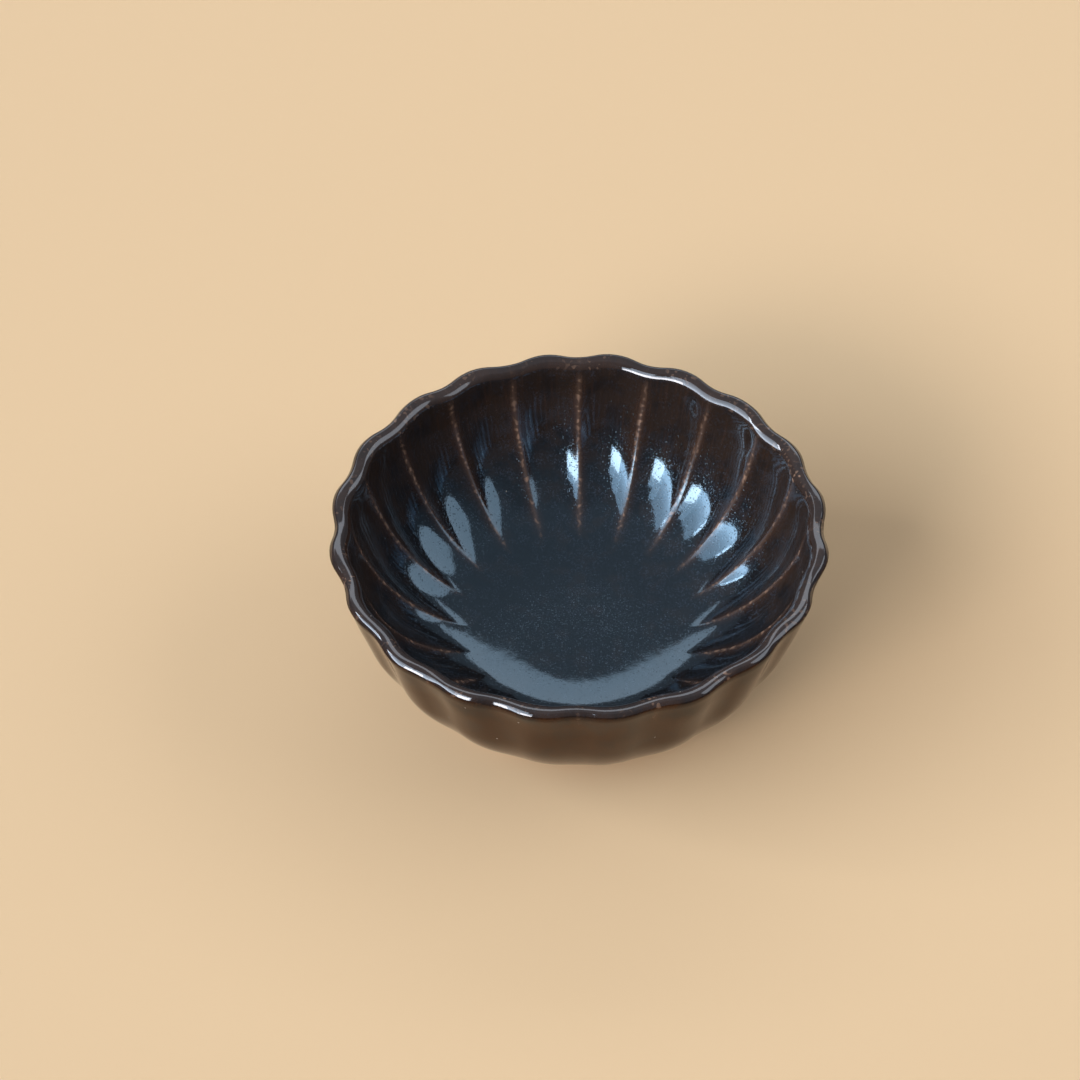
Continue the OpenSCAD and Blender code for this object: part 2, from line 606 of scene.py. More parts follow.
@dataclass(frozen=True)
class PetalPress:
    """Presses one petal from a flat sheet over the mould and turns copies of it round the axis.

    Attributes:
        mould: The form to press over.
        columns: Faces across one petal.
        line: How far the thin glaze on a ridge reaches.
        halo: How far the paler glaze beside it reaches.
        far_specks: Share of the rust specks that is left away from the ridges.
    """

    mould: Mould
    columns: int = 20
    line: float = 0.34
    halo: float = 1.1
    far_specks: float = 0.3

    def press(self, name: str, stations: Sequence[Station]) -> bpy.types.Object:
        """Makes a closed petalled piece from its rings, in order along its section.

        Args:
            name: The piece's name.
            stations: The rings.

        Returns:
            The piece, with the glaze's traits at its points.
        """
        Bench.clear()
        rows = len(stations) - 1
        bpy.ops.mesh.primitive_grid_add(x_subdivisions=self.columns, y_subdivisions=rows, size=1)
        piece = Bench.take(name)
        self.shape(piece.data, stations)
        Bench.edit()
        turn = math.tau / self.mould.petals
        bpy.ops.mesh.spin(
            steps=self.mould.petals - 1,
            dupli=True,
            angle=math.tau - turn,
            center=(0, 0, 0),
            axis=(0, 0, 1),
        )
        Bench.tidy()
        Bench.close()
        return piece

    def shape(self, mesh: bpy.types.Mesh, stations: Sequence[Station]) -> None:
        """Lays the flat sheet on one petal of the mould, with its columns crowded towards the ridges.

        Args:
            mesh: A square sheet of side 1, with a row of points for each ring.
            stations: The rings.
        """
        flat = np.empty(len(mesh.vertices) * 3)
        mesh.vertices.foreach_get("co", flat)
        flat = flat.reshape(-1, 3)
        across = np.sin(np.clip(2 * flat[:, 0], -1, 1) * math.pi / 2)
        row = np.rint((flat[:, 1] + 0.5) * (len(stations) - 1)).astype(int)
        value = {
            key: np.array([getattr(s, key) for s in stations])[row]
            for key in Station.__dataclass_fields__
        }
        half = math.pi / self.mould.petals
        drawn = self.drawn_in(np.abs(across), value["round_off"])
        radius = np.maximum(value["radius"] - value["depth"] * drawn, 0)
        angle = half * (1 + across)
        dips = np.array([self.mould.dip(s.height) for s in stations])[row]
        height = value["height"] - dips * drawn
        points = np.stack([radius * np.cos(angle), radius * np.sin(angle), height], -1) * MM
        mesh.vertices.foreach_set("co", points.ravel())
        for face in mesh.polygons:
            face.material_index = stations[min(row[i] for i in face.vertices)].finish
        ridge_gap = (1 - np.abs(across)) * half * radius
        line = np.exp(-((ridge_gap / self.line) ** 2))
        halo = np.exp(-((ridge_gap / self.halo) ** 2))
        specks = self.far_specks + (1 - self.far_specks) * halo
        self.trait(mesh, Trait.THIN, value["ridge"] * line)
        self.trait(mesh, Trait.SPECK, value["speck"] * specks)
        self.trait(mesh, Trait.HALO, value["ridge"] * halo)
        self.trait(mesh, Trait.WARM, value["warm"])

    @staticmethod
    def drawn_in(share: np.ndarray, round_off: np.ndarray) -> np.ndarray:
        """How far a ring is drawn in across a petal.

        Args:
            share: Place across the half petal, 0 in its middle and 1 on its edge.
            round_off: Share of the half petal over which the crease at its edge is rounded.

        Returns:
            The share of the ring's depth, 0 in the middle.
        """
        start = 1 - round_off
        past = np.maximum(share - start, 0)
        plain = np.minimum(share, start) ** 2
        return (plain + 2 * start * past - start / round_off * past**2) / start

    @staticmethod
    def trait(mesh: bpy.types.Mesh, trait: Trait, values: np.ndarray) -> None:
        """Stores one value for each point of a mesh."""
        layer = mesh.attributes.new(trait.value, "FLOAT", "POINT")
        layer.data.foreach_set("value", values.astype(np.float32))


@dataclass(frozen=True)
class Kiln:
    """The slight warp that making and firing leave, the same for all pieces so that they stay in touch.

    Attributes:
        name: Name of the warp.
        grain: Size of the waves.
        reach: Full width of the movement.
        still_z: Height below which nothing moves.
        free_z: Height above which everything moves.
    """

    name: str = "kiln_warp"
    grain: float = 34.0
    reach: float = 1.1
    still_z: float = 5.0
    free_z: float = 22.0

    def fire(self, piece: bpy.types.Object) -> None:
        """Warps a piece with a displace modifier and applies it.

        Args:
            piece: The piece.
        """
        clouds = bpy.data.textures.get(self.name) or bpy.data.textures.new(self.name, "CLOUDS")
        clouds.cloud_type = "COLOR"
        clouds.noise_scale = self.grain * MM
        clouds.noise_depth = 1
        group = piece.vertex_groups.new(name="softens")
        for point in piece.data.vertices:
            weight = ease(point.co.z / MM, self.still_z, self.free_z)
            group.add([point.index], weight, "REPLACE")
        Bench.only(piece)
        warp = piece.modifiers.new(self.name, "DISPLACE")
        warp.texture = clouds
        warp.texture_coords = "LOCAL"
        warp.direction = "RGB_TO_XYZ"
        warp.vertex_group = group.name
        warp.mid_level = 0.5
        warp.strength = self.reach * MM
        bpy.ops.object.modifier_apply(modifier=warp.name)
        piece.vertex_groups.clear()


class NodeBoard:
    """A material's nodes, with short calls that add and wire them."""

    def __init__(self, tree: bpy.types.NodeTree, material: bpy.types.Material | None = None) -> None:
        """Clears a tree to work on.

        Args:
            tree: The tree.
            material: The material that it belongs to, if any.
        """
        self.tree = tree
        self.material = material
        self.tree.nodes.clear()

    @classmethod
    def for_material(cls, name: str) -> "NodeBoard":
        """Starts a material with an empty board.

        Args:
            name: The material's name.

        Returns:
            The board.
        """
        material = bpy.data.materials.new(name)
        material.use_nodes = True
        return cls(material.node_tree, material)

    def add(self, kind: str, settings: dict[str, object] | None = None, **inputs: object) -> bpy.types.Node:
        """Adds a node.

        Args:
            kind: The node's type, without its ShaderNode prefix.
            settings: Properties of the node.
            inputs: Values or sockets for its inputs, with underscores for spaces in their names.

        Returns:
            The node.
        """
        node = self.tree.nodes.new("ShaderNode" + kind)
        for key, value in (settings or {}).items():
            setattr(node, key, value)
        for key, value in inputs.items():
            self.put(node.inputs[key.replace("_", " ")], value)
        return node

    def put(self, socket: Socket, value: object) -> None:
        """Wires a socket, or sets its value.

        Args:
            socket: An input.
            value: A socket to wire to it, or a value.
        """
        if isinstance(value, Socket):
            self.tree.links.new(value, socket)
        elif socket.type == "RGBA" and len(value) == 3:
            socket.default_value = (*value, 1)
        else:
            socket.default_value = value

    def place(self) -> Socket:
        """Object coordinates, in metres."""
        return self.add("TexCoord").outputs["Object"]

    def trait(self, trait: Trait) -> Socket:
        """A value that the mesh carries."""
        return self.add("Attribute", {"attribute_name": trait.value}).outputs["Fac"]

    def noise(self, place: Socket, grain: float, detail: float = 2.0, roughness: float = 0.5) -> Socket:
        """Adds noise.

        Args:
            place: Coordinates.
            grain: Size of its features, in millimetres.
            detail: Octaves of finer noise in it.
            roughness: Strength of those.

        Returns:
            The noise, 0 to 1.
        """
        scale = 1 / (grain * MM)
        node = self.add("TexNoise", Vector=place, Scale=scale, Detail=detail, Roughness=roughness)
        return node.outputs["Fac"]

    def cells(self, place: Socket, gap: float) -> tuple[Socket, Socket]:
        """Adds scattered spots.

        Args:
            place: Coordinates.
            gap: Distance between spots, in millimetres.

        Returns:
            The distance to the nearest spot, in gaps, and a chance from 0 to 1 that is that spot's own.
        """
        spots = self.add("TexVoronoi", Vector=place, Scale=1 / (gap * MM))
        chance = self.add("SeparateColor", Color=spots.outputs["Color"]).outputs[0]
        return spots.outputs["Distance"], chance

    def math(self, operation: str, first: object, second: object = 0.0, clamp: bool = False) -> Socket:
        """Adds a step of arithmetic.

        Args:
            operation: The node's operation.
            first: First value or socket.
            second: Second one, where the operation has it.
            clamp: Whether the result stays within 0 and 1.

        Returns:
            The result.
        """
        node = self.add("Math", {"operation": operation, "use_clamp": clamp})
        self.put(node.inputs[0], first)
        self.put(node.inputs[1], second)
        return node.outputs[0]

    def times(self, first: object, second: object) -> Socket:
        """The product of two values."""
        return self.math("MULTIPLY", first, second)

    def span(
        self, value: Socket, low: float, high: float, to_low: float = 0.0, to_high: float = 1.0
    ) -> Socket:
        """Maps a span of values smoothly onto another.

        Args:
            value: The value.
            low: Where the span starts.
            high: Where it ends, which may be lower.
            to_low: Result at the start.
            to_high: Result at the end.

        Returns:
            The result.
        """
        node = self.add("MapRange", {"interpolation_type": "SMOOTHSTEP"}, Value=value)
        for key, number in zip(("From Min", "From Max", "To Min", "To Max"), (low, high, to_low, to_high)):
            node.inputs[key].default_value = number
        return node.outputs["Result"]

    def blend(self, share: object, first: object, second: object, how: str = "MIX") -> Socket:
        """Blends two colours.

        Args:
            share: Share of the second.
            first: First colour.
            second: Second colour.
            how: The node's type of blend.

        Returns:
            The colour.
        """
        node = self.add("Mix", {"data_type": "RGBA", "blend_type": how})
        self.put(node.inputs[0], share)
        # Inputs 6 and 7 and output 2 are the node's sockets for colours
        self.put(node.inputs[6], first)
        self.put(node.inputs[7], second)
        return node.outputs[2]

    def dim(self, colour: object, level: Socket) -> Socket:
        """Scales a colour by a level.

        Args:
            colour: The colour.
            level: The level, 1 to leave it.

        Returns:
            The scaled colour.
        """
        node = self.add("VectorMath", {"operation": "SCALE"}, Scale=level)
        self.put(node.inputs[0], colour)
        return node.outputs[0]

    def bump(self, height: Socket, strength: float, depth: float, below: Socket | None = None) -> Socket:
        """Turns a height from 0 to 1 into a surface normal.

        Args:
            height: The height.
            strength: Strength of the bump, 0 to 1.
            depth: Real height of 1, in millimetres.
            below: A normal that it lies on, if any.

        Returns:
            The normal.
        """
        node = self.add("Bump", Height=height, Strength=strength, Distance=depth * MM)
        if below is not None:
            self.put(node.inputs["Normal"], below)
        return node.outputs["Normal"]

    def finish(self, **inputs: object) -> bpy.types.Material:
        """Ends the board in a principled shader.

        Args:
            inputs: Values or sockets for the shader, with underscores for spaces.

        Returns:
            The material.
        """
        shader = self.add("BsdfPrincipled", **inputs)
        out = self.add("OutputMaterial")
        self.tree.links.new(shader.outputs[0], out.inputs["Surface"])
        return self.material


@dataclass(frozen=True)
class GlazeGrain:
    """Sizes of the marks in the glaze and of its surface, in millimetres.

    Attributes:
        drift: Patches where it turns browner or bluer.
        clouds: Clouds of flecks.
        flecks: The flecks.
        streaks: Streaks down the walls.
        beads: Beads along a ridge.
        runs: Stretches of a ridge with more or fewer beads.
        specks: Rust specks on the lip.
        groups: Groups of those specks.
        pits: Distance between the pits.
        holes: Distance between the pinholes.
        hole_depth: Depth of a pinhole.
        grit: The fine grain.
        grit_depth: Its depth.
        peel: Waves of the orange peel.
        peel_depth: Their depth.
        wall_r: Radius at which the streaks have their true width.
        floor_z: Heights between which grain and pinholes wake, above the floor.
        lip_z: Heights between which they calm down, below the lip.
    """

    drift: float = 4.0
    clouds: float = 2.4
    flecks: float = 0.4
    streaks: float = 0.6
    beads: float = 0.8
    runs: float = 5.0
    specks: float = 0.75
    groups: float = 6.0
    pits: float = 4.5
    holes: float = 0.3
    hole_depth: float = 0.04
    grit: float = 0.45
    grit_depth: float = 0.009
    peel: float = 2.2
    peel_depth: float = 0.01
    wall_r: float = 40.0
    floor_z: tuple[float, float] = (6.2, 11.0)
    lip_z: tuple[float, float] = (30.0, 33.0)


@dataclass(frozen=True)
class IronGlaze:
    """Glossy iron glaze: blue-black where it lies thick, brown higher up, breaking rust where it runs thin.

    Attributes:
        name: The material's name.
        thick: Colour of a thick coat.
        brown: Colour of a thinner coat.
        fleck: Colour of the fine flecks in it.
        fleck_share: Strength of the flecks.
        warm_flecks: Share of them that is left where it is brown.
        fur: Colour of the streaks that run down the walls, and beside the ridges.
        fur_share: Strength of the streaks.
        halo_share: Strength of that colour beside the ridges.
        stretch: How much slower the streaks change downwards than around.
        rust: Colour where the glaze breaks on an edge.
        pit: Colour of the few pits in it.
        pit_share: Strength of the pits.
        sheen: Tint of its reflections. Away from neutral it is painted reflection colour: a blue tint
            stands in for bluish daylight, a warm one for a brown table reflected in the glaze.
        index: Refractive index.
        gloss: Lowest roughness.
        grain_gloss: How much rougher its grain makes it.
        thin_gloss: How much rougher it is where it runs thin.
        grit: Strength of its grain, 1 inside the bowl.
        floor_calm: Share of grain and pinholes that is left on the floor.
        lip_calm: Share of them that is left at the lip.
        rarity: Power of a pinhole's chance, which makes deep ones rare.
        sizes: Sizes of its marks.
    """

    name: str
    thick: Colour = seen(22, 21, 22)
    brown: Colour = seen(43, 31, 24)
    fleck: Colour = seen(58, 64, 76)
    fleck_share: float = 0.55
    warm_flecks: float = 0.4
    fur: Colour = seen(66, 43, 31)
    fur_share: float = 0.3
    halo_share: float = 0.5
    stretch: float = 0.07
    rust: Colour = seen(158, 122, 100)
    pit: Colour = seen(170, 160, 148)
    pit_share: float = 0.8
    # Painted reflection colour: this bluish tint stands in for the bluish cast of the daylight that the
    # glaze reflects. The glaze's own reflections are neutral.
    sheen: Colour = (0.54, 0.79, 1.0)
    index: float = 1.72
    gloss: float = 0.045
    grain_gloss: float = 0.03
    thin_gloss: float = 0.2
    grit: float = 1.0
    floor_calm: float = 0.3
    lip_calm: float = 0.35
    rarity: float = 5.0
    sizes: GlazeGrain = GlazeGrain()

    def material(self) -> bpy.types.Material:
        """Builds the material, or finds it if it is built.

        Returns:
            The material.
        """
        if self.name in bpy.data.materials:
            return bpy.data.materials[self.name]
        board = NodeBoard.for_material(self.name)
        place = board.place()
        grain = board.noise(place, self.sizes.grit, 1.5, 0.6)
        thin = board.trait(Trait.THIN)
        glossy = board.span(grain, 0.35, 0.65, self.gloss, self.gloss + self.grain_gloss)
        return board.finish(
            Base_Color=self.colour(board, place, thin),
            Roughness=board.math("ADD", board.times(thin, self.thin_gloss), glossy),
            Normal=self.skin(board, place, grain),
            IOR=self.index,
            Specular_Tint=self.sheen,
        )

    def colour(self, board: NodeBoard, place: Socket, thin: Socket) -> Socket:
        """Colour of the glaze: mottled where thick, furred down the walls, broken on ridges and lip.

        The numbers after a noise are the values at which its marks begin and are full.

        Args:
            board: The material's nodes.
            place: Object coordinates.
            thin: Where the glaze runs thin, 0 to 1.

        Returns:
            The colour.
        """
        sizes = self.sizes
        warm = board.trait(Trait.WARM)
        drift = board.span(board.noise(place, sizes.drift, 3.0, 0.55), 0.3, 0.7, -0.45, 0.45)
        body = board.blend(board.math("ADD", warm, drift, clamp=True), self.thick, self.brown)
        clouds = board.span(board.noise(place, sizes.clouds, 2.0), 0.35, 0.65, 0.25, 1.0)
        flecks = board.times(board.span(board.noise(place, sizes.flecks, 2.0, 0.6), 0.45, 0.72), clouds)
        share = board.span(warm, 0.0, 1.0, self.fleck_share, self.warm_flecks * self.fleck_share)
        body = board.blend(board.times(flecks, share), body, self.fleck)
        streaks = board.span(board.noise(self.down_the_wall(board, place), sizes.streaks, 2.0), 0.5, 0.75)
        fur = board.times(streaks, board.times(warm, self.fur_share))
        halo = board.times(board.trait(Trait.HALO), self.halo_share)
        body = board.blend(board.math("ADD", fur, halo, clamp=True), body, self.fur)
        beads = board.span(board.noise(place, sizes.beads, 0.0), 0.53, 0.72, 0.2, 1.0)
        runs = board.span(board.noise(place, sizes.runs, 2.0), 0.32, 0.6, 0.4, 0.85)
        lines = board.times(thin, board.times(beads, runs))
        spots = board.span(board.noise(place, sizes.specks, 0.0), 0.62, 0.7)
        groups = board.span(board.noise(place, sizes.groups, 1.0), 0.48, 0.62)
        specks = board.times(board.trait(Trait.SPECK), board.times(spots, groups))
        broken = board.blend(board.math("ADD", lines, specks, clamp=True), body, self.rust)
        distance, chance = board.cells(place, sizes.pits)
        pits = board.times(board.span(distance, 0.045, 0.02), board.span(chance, 0.6, 0.62))
        return board.blend(board.times(pits, self.pit_share), broken, self.pit)

    def down_the_wall(self, board: NodeBoard, place: Socket) -> Socket:
        """Coordinates in which noise runs in streaks from the lip to the floor.

        Args:
            board: The material's nodes.
            place: Object coordinates.

        Returns:
            The coordinates.
        """
        way = board.add("SeparateXYZ", Vector=place)
        angle = board.math("ARCTAN2", way.outputs["Y"], way.outputs["X"])
        around = board.times(angle, self.sizes.wall_r * MM)
        down = board.times(way.outputs["Z"], self.stretch)
        return board.add("CombineXYZ", X=around, Y=down).outputs[0]

    def skin(self, board: NodeBoard, place: Socket, grain: Socket) -> Socket:
        """Surface of the glaze: a faint orange peel, a fine grain and pinholes, calmest on the floor.

        Args:
            board: The material's nodes.
            place: Object coordinates.
            grain: Noise of the fine grain.

        Returns:
            The surface normal.
        """
        sizes = self.sizes
        rise = board.add("SeparateXYZ", Vector=place).outputs["Z"]
        above_floor = board.span(rise, *(z * MM for z in sizes.floor_z), self.floor_calm, 1.0)
        below_lip = board.span(rise, *(z * MM for z in sizes.lip_z), 1.0, self.lip_calm)
        walls = board.times(above_floor, below_lip)
        peel = board.bump(board.noise(place, sizes.peel, 1.0), self.grit, sizes.peel_depth)
        fine = board.bump(board.times(grain, walls), self.grit, sizes.grit_depth, peel)
        distance, chance = board.cells(place, sizes.holes)
        dome = board.span(distance, 0.5, 0.0)
        height = board.times(dome, board.math("POWER", chance, self.rarity))
        return board.bump(board.times(height, walls), self.grit, sizes.hole_depth, fine)


@dataclass(frozen=True)
class Stoneware:
    """Bare fired clay, with grit, stains, iron specks and faint turning marks, sizes in millimetres."""

    name: str
    pale: Colour = seen(172, 138, 108)
    dark: Colour = seen(126, 93, 70)
    iron: Colour = seen(62, 42, 32)
    grit_size: float = 0.45
    grit_depth: float = 0.14
    stain_size: float = 9.0
    iron_gap: float = 1.3
    mark_size: float = 0.7
    mark_depth: float = 0.08

    def material(self) -> bpy.types.Material:
        """Builds the material, or finds it if it is built.

        Returns:
            The material.
        """
        if self.name in bpy.data.materials:
            return bpy.data.materials[self.name]
        board = NodeBoard.for_material(self.name)
        place = board.place()
        grit = board.noise(place, self.grit_size, 4.0, 0.65)
        stain = board.noise(place, self.stain_size, 3.0)
        body = board.blend(board.times(board.math("ADD", grit, stain), 0.5), self.dark, self.pale)
        distance, chance = board.cells(place, self.iron_gap)
        dots = board.times(board.span(distance, 0.2, 0.1), board.span(chance, 0.55, 0.75))
        colour = board.blend(dots, body, self.iron)
        way = board.add("SeparateXYZ", Vector=place)
        flat = board.add("CombineXYZ", X=way.outputs["X"], Y=way.outputs["Y"])
        radius = board.add("VectorMath", {"operation": "LENGTH"})
        board.put(radius.inputs[0], flat.outputs[0])
        turned = board.add("CombineXYZ", X=radius.outputs["Value"], Y=way.outputs["Z"])
        marks = board.noise(turned.outputs[0], self.mark_size, 2.0)
        skin = board.bump(grit, 0.7, self.grit_depth, board.bump(marks, 0.6, self.mark_depth))
        dull = board.span(grit, 0.3, 0.7, 0.72, 0.88)
        return board.finish(Base_Color=colour, Roughness=dull, Normal=skin)


@dataclass(frozen=True)
class PaleFloor:
    """Plain pale floor."""

    name: str
    colour: Colour = seen(224, 188, 147)
    roughness: float = 0.9
    gloss: float = 0.1

    def material(self) -> bpy.types.Material:
        """Builds the material."""
        board = NodeBoard.for_material(self.name)
        return board.finish(Base_Color=self.colour, Roughness=self.roughness, Specular_IOR_Level=self.gloss)


def settle(
    piece: bpy.types.Object, node: Node, slot: Slot, *materials: bpy.types.Material
) -> bpy.types.Object:
    """Dresses a finished piece and puts it in the place of its solid.

    Args:
        piece: The piece.
        node: The solid that it stands for.
        slot: The record's slot that its finish belongs to; not used.
        materials: The finishes, in the order of the piece's faces.

    Returns:
        The piece.
    """
    for material in materials:
        piece.data.materials.append(material)
    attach(piece, BODY)
    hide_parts(node.value)
    return piece


@dataclass
class Bowl:
    """The stoneware bowl and its coats of glaze, all pressed over one mould."""

    mould: Mould
    kilns: tuple[Kiln, ...]
    ring_step: float = 0.9
    wall_rings: int = 9
    lip_rings: int = 22
    belly_rings: int = 30
    bead: float = 0.12
    edge_rise: float = 0.55
    under_rings: int = 6

    def __post_init__(self) -> None:
        """Sets up the press."""
        self.press = PetalPress(self.mould)

    def clay_inside(self) -> list[Station]:
        """Rings of the clay inside, twice as far apart as those of the glaze over it."""
        mould = self.mould
        return mould.inside(0, mould.clay_flute_depth, 0, 2 * self.ring_step)

    def clay_lip(self) -> list[Station]:
        """Rings of the clay over the lip.

        Returns:
            The rings in order.
        """
        mould = self.mould
        rise = mould.dish_h - mould.wall_top - mould.outer_glaze_t
        return mould.lip(0, rise, mould.inner_clay_r, mould.clay_flute_depth, self.lip_rings)

    def coat_at(self, distance: float) -> float:
        """Thickness of the outer glaze, which ends in a rolled bead.

        Args:
            distance: Distance up from the lower edge.

        Returns:
            The thickness.
        """
        full = self.mould.outer_glaze_t
        if math.isinf(distance):
            return full
        rolled = min(distance / self.edge_rise, 1)
        bead = self.bead * math.exp(-(((distance - 2 * self.edge_rise) / self.edge_rise) ** 2))
        return (full + bead) * math.sqrt(1 - (1 - rolled) ** 2)

    def build_clay(self, finish: Stoneware) -> bpy.types.Object:
        """Builds the bowl of bare clay.

        Args:
            finish: The clay.

        Returns:
            The bowl.
        """
        mould = self.mould
        edge = mould.foot_r + mould.foot_ledge
        under = [Station(edge * i / self.under_rings, mould.underside, 0) for i in range(self.under_rings)]
        outside = mould.outside(lambda distance: 0.0, mould.underside, self.belly_rings, self.wall_rings)
        rings = under + outside + self.clay_lip() + self.clay_inside()[-2::-1]
        rings = [replace(ring, finish=0) for ring in rings]
        return self.end(self.press.press("bowl_clay", rings), Node.BOWL, Slot.STONEWARE, finish.material())

    def build_inner_glaze(self, finish: IronGlaze) -> bpy.types.Object:
        """Builds the coat of glaze inside the bowl.

        Args:
            finish: The glaze.

        Returns:
            The coat.
        """
        mould = self.mould
        front = mould.inside(mould.glaze_t, mould.flute_depth, mould.floor_ease, self.ring_step)
        rings = front + self.clay_inside()[::-1]
        return self.end(self.press.press("inner_coat", rings), Node.INNER, Slot.INNER, finish.material())

    def build_outer_glaze(self, *finishes: IronGlaze) -> bpy.types.Object:
        """Builds the coat of glaze outside and over the lip.

        Args:
            finishes: The glazes, in the order of Coat.

        Returns:
            The coat.
        """
        mould = self.mould
        front = mould.outside(self.coat_at, mould.glaze_low, self.belly_rings, self.wall_rings)
        rise = mould.dish_h - mould.wall_top
        over = mould.lip(mould.outer_glaze_t, rise, mould.inner_glaze_r, mould.flute_depth, self.lip_rings)
        back = mould.outside(lambda distance: 0.0, mould.glaze_low, self.belly_rings, self.wall_rings)
        rings = front + over + self.clay_lip()[::-1] + back[::-1]
        piece = self.press.press("outer_coat", rings)
        return self.end(piece, Node.OUTER, Slot.OUTER, *(finish.material() for finish in finishes))

    def end(
        self, piece: bpy.types.Object, node: Node, slot: Slot, *materials: bpy.types.Material
    ) -> bpy.types.Object:
        """Fires, smooths and settles a pressed piece.

        Args:
            piece: The piece.
            node: The solid that it stands for.
            slot: The record's slot that its finish belongs to.
            materials: The finishes, in the order of the piece's faces.

        Returns:
            The piece.
        """
        for kiln in self.kilns:
            kiln.fire(piece)
        Bench.smooth(piece)
        return settle(piece, node, slot, *materials)


@dataclass
class Foot:
    """The foot ring luted under the bowl, and the glaze pooled inside it."""

    mould: Mould
    points: int = 192
    edge_r: float = 0.8
    edge_steps: int = 4
    edge_angle: float = 40
    pool_steps: int = 6
    well_rings: int = 6
    well_brown: float = 0.6
    facing: float = 0.9
    touch: float = 0.01

    def disc(self, name: str, radius: float, low: float) -> bpy.types.Object:
        """Starts a piece from a disc that reaches from a height up to the underside of the bowl.

        Args:
            name: The piece's name.
            radius: The disc's radius.
            low: Height of its lower face.

        Returns:
            The piece, open in edit mode.
        """
        deep = self.mould.underside - low
        Bench.clear()
        bpy.ops.mesh.primitive_cylinder_add(
            vertices=self.points,
            radius=radius * MM,
            depth=deep * MM,
            location=(0, 0, (self.mould.underside - deep / 2) * MM),
        )
        piece = Bench.take(name)
        bpy.ops.object.transform_apply(location=True, rotation=True, scale=True)
        Bench.edit(Part.FACE)
        return piece

    def build_ring(self, finish: Stoneware) -> bpy.types.Object:
        """Turns the ring from a disc: its middle is cut out and its edges at the table are rounded.

        Args:
            finish: The clay.

        Returns:
            The ring.
        """
        mould = self.mould
        ring = self.disc("foot", mould.foot_r, 0)
        Bench.pick(ring, Part.FACE, lambda face: abs(face.normal.z) > self.facing)
        bpy.ops.mesh.inset(thickness=(mould.foot_r - mould.well_r) * MM)
        bpy.ops.mesh.bridge_edge_loops()
        Bench.tidy()
        Bench.pick(ring, Part.EDGE, lambda edge: self.meets_table(ring, edge))
        bpy.ops.mesh.bevel(offset=self.edge_r * MM, segments=self.edge_steps, affect="EDGES")
        Bench.tidy()
        Bench.close()
        Bench.smooth(ring, self.edge_angle)
        return settle(ring, Node.FOOT, Slot.STONEWARE, finish.material())

    def meets_table(self, ring: bpy.types.Object, edge: bpy.types.MeshEdge) -> bool:
        """Tells whether an edge runs round the ring at the table.

        Args:
            ring: The ring.
            edge: One of its edges.

        Returns:
            Whether both its ends lie on the table, at one radius.
        """
        ends = [ring.data.vertices[i].co for i in edge.vertices]
        on_table = all(abs(end.z) < self.touch * MM for end in ends)
        return on_table and abs(ends[0].xy.length - ends[1].xy.length) < self.touch * MM

    def build_well(self, finish: IronGlaze) -> bpy.types.Object:
        """Pools the glaze in the foot ring: a disc whose lower face rises along a round fillet.

        Args:
            finish: The glaze.

        Returns:
            The pooled glaze.
        """
        mould = self.mould
        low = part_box(Node.WELL.value)[0].z / MM
        pool = mould.underside - low - mould.outer_glaze_t
        well = self.disc("foot_well", mould.well_r, low)
        Bench.pick(well, Part.FACE, lambda face: face.normal.z < -self.facing)
        turns = [math.pi / 2 * i / self.pool_steps for i in range(self.pool_steps + 1)]
        for before, after in zip(turns, turns[1:]):
            bpy.ops.mesh.inset(thickness=pool * (math.cos(before) - math.cos(after)) * MM)
            rise = pool * (math.sin(after) - math.sin(before)) * MM
            bpy.ops.transform.translate(value=(0, 0, rise))
        for _ in range(self.well_rings - 1):
            bpy.ops.mesh.inset(thickness=(mould.well_r - pool) / self.well_rings * MM)
        Bench.tidy()
        Bench.close()
        PetalPress.trait(well.data, Trait.WARM, np.full(len(well.data.vertices), self.well_brown))
        Bench.smooth(well)
        return settle(well, Node.WELL, Slot.OUTER, finish.material())


